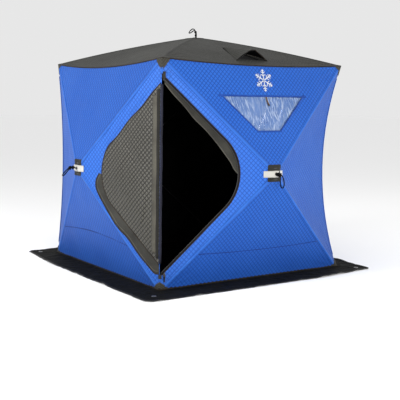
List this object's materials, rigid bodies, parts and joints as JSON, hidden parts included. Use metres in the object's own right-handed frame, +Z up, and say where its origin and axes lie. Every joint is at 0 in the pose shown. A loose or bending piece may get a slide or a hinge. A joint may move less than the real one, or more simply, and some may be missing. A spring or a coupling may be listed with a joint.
{
  "type": "ice fishing shelter",
  "caption": "Square insulated pop-up hub shelter for ice fishing, with a corner door folded back, a film window, a roof vent, pull cords and a snow skirt.",
  "frame": {"origin": "on the ground, at the middle of the shelter's plan", "axes": "+Z up; the wall with the window faces -Y; the corner door is between the -Y and -X walls"},
  "size_m": [2.4948, 2.4428, 2.0615],
  "materials": {
    "shell_fabric": "quilted coated polyester, satin",
    "roof_fabric": "quilted coated polyester, matt",
    "lining_fabric": "diamond-quilted grey lining, slight sheen",
    "skirt_fabric": "plain woven polyester, matt",
    "cap_fabric": "heavy woven nylon, matt",
    "webbing": "woven nylon webbing",
    "reflective_tape": "off-white reflective tape, satin",
    "cord": "braided black cord",
    "vent_mesh": "black insect mesh",
    "window_film": "clear wrinkled vinyl film",
    "zip_hardware": "moulded black",
    "pole_fibreglass": "smooth pultruded fibreglass, semi-gloss",
    "hub_plastic": "glass-filled nylon, fine grain",
    "eyelet_metal": "pressed nickel-plated eyelet"
  },
  "bodies": {
    "shell": {"wall_front": "shell_fabric", "wall_right": "shell_fabric", "wall_back": "shell_fabric", "wall_left": "shell_fabric", "roof": "roof_fabric", "snow_skirt": "skirt_fabric", "door_left_half": "shell_fabric", "door_storm_flap": "skirt_fabric", "window_pane": "window_film", "vent_mesh": "vent_mesh", "corner_cap_top_front_left": "cap_fabric", "corner_cap_top_front_right": "cap_fabric", "corner_cap_top_back_right": "cap_fabric", "corner_cap_top_back_left": "cap_fabric", "corner_cap_bottom_front_left": "cap_fabric", "corner_cap_bottom_front_right": "cap_fabric", "corner_cap_bottom_back_right": "cap_fabric", "corner_cap_bottom_back_left": "cap_fabric", "anchor_eyelet_front_left": "eyelet_metal", "anchor_eyelet_front_right": "eyelet_metal", "anchor_eyelet_back_right": "eyelet_metal", "anchor_eyelet_back_left": "eyelet_metal"},
    "front_hub": {"hub_front": "hub_plastic", "hub_patch_front": "webbing", "pull_cord_front": "cord"},
    "front_pole_bottom_left": {"pole_front_bottom_left": "pole_fibreglass"},
    "front_pole_bottom_right": {"pole_front_bottom_right": "pole_fibreglass"},
    "front_pole_top_right": {"pole_front_top_right": "pole_fibreglass"},
    "front_pole_top_left": {"pole_front_top_left": "pole_fibreglass"},
    "right_hub": {"hub_right": "hub_plastic", "hub_patch_right": "webbing", "pull_cord_right": "cord"},
    "right_pole_bottom_left": {"pole_right_bottom_left": "pole_fibreglass"},
    "right_pole_bottom_right": {"pole_right_bottom_right": "pole_fibreglass"},
    "right_pole_top_right": {"pole_right_top_right": "pole_fibreglass"},
    "right_pole_top_left": {"pole_right_top_left": "pole_fibreglass"},
    "back_hub": {"hub_back": "hub_plastic", "hub_patch_back": "webbing", "pull_cord_back": "cord"},
    "back_pole_bottom_left": {"pole_back_bottom_left": "pole_fibreglass"},
    "back_pole_bottom_right": {"pole_back_bottom_right": "pole_fibreglass"},
    "back_pole_top_right": {"pole_back_top_right": "pole_fibreglass"},
    "back_pole_top_left": {"pole_back_top_left": "pole_fibreglass"},
    "left_hub": {"hub_left": "hub_plastic", "hub_patch_left": "webbing", "pull_cord_left": "cord"},
    "left_pole_bottom_left": {"pole_left_bottom_left": "pole_fibreglass"},
    "left_pole_bottom_right": {"pole_left_bottom_right": "pole_fibreglass"},
    "left_pole_top_right": {"pole_left_top_right": "pole_fibreglass"},
    "left_pole_top_left": {"pole_left_top_left": "pole_fibreglass"},
    "roof_hub": {"hub_roof": "hub_plastic", "hub_patch_roof": "webbing", "pull_cord_roof": "cord"},
    "roof_pole_front_left": {"pole_roof_front_left": "pole_fibreglass"},
    "roof_pole_front_right": {"pole_roof_front_right": "pole_fibreglass"},
    "roof_pole_back_right": {"pole_roof_back_right": "pole_fibreglass"},
    "roof_pole_back_left": {"pole_roof_back_left": "pole_fibreglass"},
    "door_leaf": {"door_right_half": "lining_fabric"},
    "vent_flap": {"vent_hood": "roof_fabric"},
    "zip_slider": {"zipper_slider": "zip_hardware"}
  },
  "joints": [
    {"name": "front_hub_pop", "type": "slide", "parent": "shell", "child": "front_hub", "axis": [0, 1, 0], "range_m": [0, 0.483]},
    {"name": "front_pole_bottom_left_pivot", "type": "hinge", "parent": "front_hub", "child": "front_pole_bottom_left", "pos_m": [-0.02884, -1.12799, 0.83728], "axis": [-0.6929, 0, 0.721], "range_deg": [0, 23]},
    {"name": "front_pole_bottom_right_pivot", "type": "hinge", "parent": "front_hub", "child": "front_pole_bottom_right", "pos_m": [0.02884, -1.12799, 0.83728], "axis": [-0.6929, 0, -0.721], "range_deg": [0, 23]},
    {"name": "front_pole_top_right_pivot", "type": "hinge", "parent": "front_hub", "child": "front_pole_top_right", "pos_m": [0.02868, -1.12803, 0.89288], "axis": [0.6971, 0, -0.717], "range_deg": [0, 22.88]},
    {"name": "front_pole_top_left_pivot", "type": "hinge", "parent": "front_hub", "child": "front_pole_top_left", "pos_m": [-0.02868, -1.12803, 0.89288], "axis": [0.6971, 0, 0.717], "range_deg": [0, 22.88]},
    {"name": "right_hub_pop", "type": "slide", "parent": "shell", "child": "right_hub", "axis": [-1, 0, 0], "range_m": [0, 0.483]},
    {"name": "right_pole_bottom_left_pivot", "type": "hinge", "parent": "right_hub", "child": "right_pole_bottom_left", "pos_m": [1.12799, -0.02884, 0.83728], "axis": [0, -0.6929, 0.721], "range_deg": [0, 23]},
    {"name": "right_pole_bottom_right_pivot", "type": "hinge", "parent": "right_hub", "child": "right_pole_bottom_right", "pos_m": [1.12799, 0.02884, 0.83728], "axis": [0, -0.6929, -0.721], "range_deg": [0, 23]},
    {"name": "right_pole_top_right_pivot", "type": "hinge", "parent": "right_hub", "child": "right_pole_top_right", "pos_m": [1.12803, 0.02868, 0.89288], "axis": [0, 0.6971, -0.717], "range_deg": [0, 22.88]},
    {"name": "right_pole_top_left_pivot", "type": "hinge", "parent": "right_hub", "child": "right_pole_top_left", "pos_m": [1.12803, -0.02868, 0.89288], "axis": [0, 0.6971, 0.717], "range_deg": [0, 22.88]},
    {"name": "back_hub_pop", "type": "slide", "parent": "shell", "child": "back_hub", "axis": [0, -1, 0], "range_m": [0, 0.483]},
    {"name": "back_pole_bottom_left_pivot", "type": "hinge", "parent": "back_hub", "child": "back_pole_bottom_left", "pos_m": [0.02884, 1.12799, 0.83728], "axis": [0.6929, 0, 0.721], "range_deg": [0, 23]},
    {"name": "back_pole_bottom_right_pivot", "type": "hinge", "parent": "back_hub", "child": "back_pole_bottom_right", "pos_m": [-0.02884, 1.12799, 0.83728], "axis": [0.6929, 0, -0.721], "range_deg": [0, 23]},
    {"name": "back_pole_top_right_pivot", "type": "hinge", "parent": "back_hub", "child": "back_pole_top_right", "pos_m": [-0.02868, 1.12803, 0.89288], "axis": [-0.6971, 0, -0.717], "range_deg": [0, 22.88]},
    {"name": "back_pole_top_left_pivot", "type": "hinge", "parent": "back_hub", "child": "back_pole_top_left", "pos_m": [0.02868, 1.12803, 0.89288], "axis": [-0.6971, 0, 0.717], "range_deg": [0, 22.88]},
    {"name": "left_hub_pop", "type": "slide", "parent": "shell", "child": "left_hub", "axis": [1, 0, 0], "range_m": [0, 0.483]},
    {"name": "left_pole_bottom_left_pivot", "type": "hinge", "parent": "left_hub", "child": "left_pole_bottom_left", "pos_m": [-1.12799, 0.02884, 0.83728], "axis": [0, 0.6929, 0.721], "range_deg": [0, 23]},
    {"name": "left_pole_bottom_right_pivot", "type": "hinge", "parent": "left_hub", "child": "left_pole_bottom_right", "pos_m": [-1.12799, -0.02884, 0.83728], "axis": [0, 0.6929, -0.721], "range_deg": [0, 23]},
    {"name": "left_pole_top_right_pivot", "type": "hinge", "parent": "left_hub", "child": "left_pole_top_right", "pos_m": [-1.12803, -0.02868, 0.89288], "axis": [0, -0.6971, -0.717], "range_deg": [0, 22.88]},
    {"name": "left_pole_top_left_pivot", "type": "hinge", "parent": "left_hub", "child": "left_pole_top_left", "pos_m": [-1.12803, 0.02868, 0.89288], "axis": [0, -0.6971, 0.717], "range_deg": [0, 22.88]},
    {"name": "roof_hub_pop", "type": "slide", "parent": "shell", "child": "roof_hub", "axis": [0, 0, -1], "range_m": [0, 0.474]},
    {"name": "roof_pole_front_left_pivot", "type": "hinge", "parent": "roof_hub", "child": "roof_pole_front_left", "pos_m": [-0.02828, -0.02828, 1.9633], "axis": [-0.7071, 0.7071, 0], "range_deg": [0, 22.16]},
    {"name": "roof_pole_front_right_pivot", "type": "hinge", "parent": "roof_hub", "child": "roof_pole_front_right", "pos_m": [0.02828, -0.02828, 1.9633], "axis": [-0.7071, -0.7071, 0], "range_deg": [0, 22.16]},
    {"name": "roof_pole_back_right_pivot", "type": "hinge", "parent": "roof_hub", "child": "roof_pole_back_right", "pos_m": [0.02828, 0.02828, 1.9633], "axis": [0.7071, -0.7071, 0], "range_deg": [0, 22.16]},
    {"name": "roof_pole_back_left_pivot", "type": "hinge", "parent": "roof_hub", "child": "roof_pole_back_left", "pos_m": [-0.02828, 0.02828, 1.9633], "axis": [0.7071, 0.7071, 0], "range_deg": [0, 22.16]},
    {"name": "door_swing", "type": "hinge", "parent": "shell", "child": "door_leaf", "pos_m": [-0.90325, -0.90325, 0.85], "axis": [0, 0, 1], "range_deg": [0, 238.95]},
    {"name": "vent_hood_swing", "type": "hinge", "parent": "shell", "child": "vent_flap", "pos_m": [0, -0.41232, 1.86543], "axis": [1, 0, 0], "range_deg": [0, 13]},
    {"name": "zip_slide", "type": "slide", "parent": "shell", "child": "zip_slider", "axis": [0.6857, -0.1905, 0.7025], "range_m": [0, 0.56]}
  ],
  "couplings": [
    {"joint": "front_pole_bottom_left_pivot", "follows": "front_hub_pop", "rad_per_m": 0.81681},
    {"joint": "front_pole_bottom_right_pivot", "follows": "front_hub_pop", "rad_per_m": 0.81681},
    {"joint": "front_pole_top_right_pivot", "follows": "front_hub_pop", "rad_per_m": 0.8124},
    {"joint": "front_pole_top_left_pivot", "follows": "front_hub_pop", "rad_per_m": 0.8124},
    {"joint": "right_pole_bottom_left_pivot", "follows": "right_hub_pop", "rad_per_m": 0.81681},
    {"joint": "right_pole_bottom_right_pivot", "follows": "right_hub_pop", "rad_per_m": 0.81681},
    {"joint": "right_pole_top_right_pivot", "follows": "right_hub_pop", "rad_per_m": 0.8124},
    {"joint": "right_pole_top_left_pivot", "follows": "right_hub_pop", "rad_per_m": 0.8124},
    {"joint": "back_pole_bottom_left_pivot", "follows": "back_hub_pop", "rad_per_m": 0.81681},
    {"joint": "back_pole_bottom_right_pivot", "follows": "back_hub_pop", "rad_per_m": 0.81681},
    {"joint": "back_pole_top_right_pivot", "follows": "back_hub_pop", "rad_per_m": 0.8124},
    {"joint": "back_pole_top_left_pivot", "follows": "back_hub_pop", "rad_per_m": 0.8124},
    {"joint": "left_pole_bottom_left_pivot", "follows": "left_hub_pop", "rad_per_m": 0.81681},
    {"joint": "left_pole_bottom_right_pivot", "follows": "left_hub_pop", "rad_per_m": 0.81681},
    {"joint": "left_pole_top_right_pivot", "follows": "left_hub_pop", "rad_per_m": 0.8124},
    {"joint": "left_pole_top_left_pivot", "follows": "left_hub_pop", "rad_per_m": 0.8124},
    {"joint": "roof_pole_front_left_pivot", "follows": "roof_hub_pop", "rad_per_m": 0.80137},
    {"joint": "roof_pole_front_right_pivot", "follows": "roof_hub_pop", "rad_per_m": 0.80137},
    {"joint": "roof_pole_back_right_pivot", "follows": "roof_hub_pop", "rad_per_m": 0.80137},
    {"joint": "roof_pole_back_left_pivot", "follows": "roof_hub_pop", "rad_per_m": 0.80137}
  ]
}
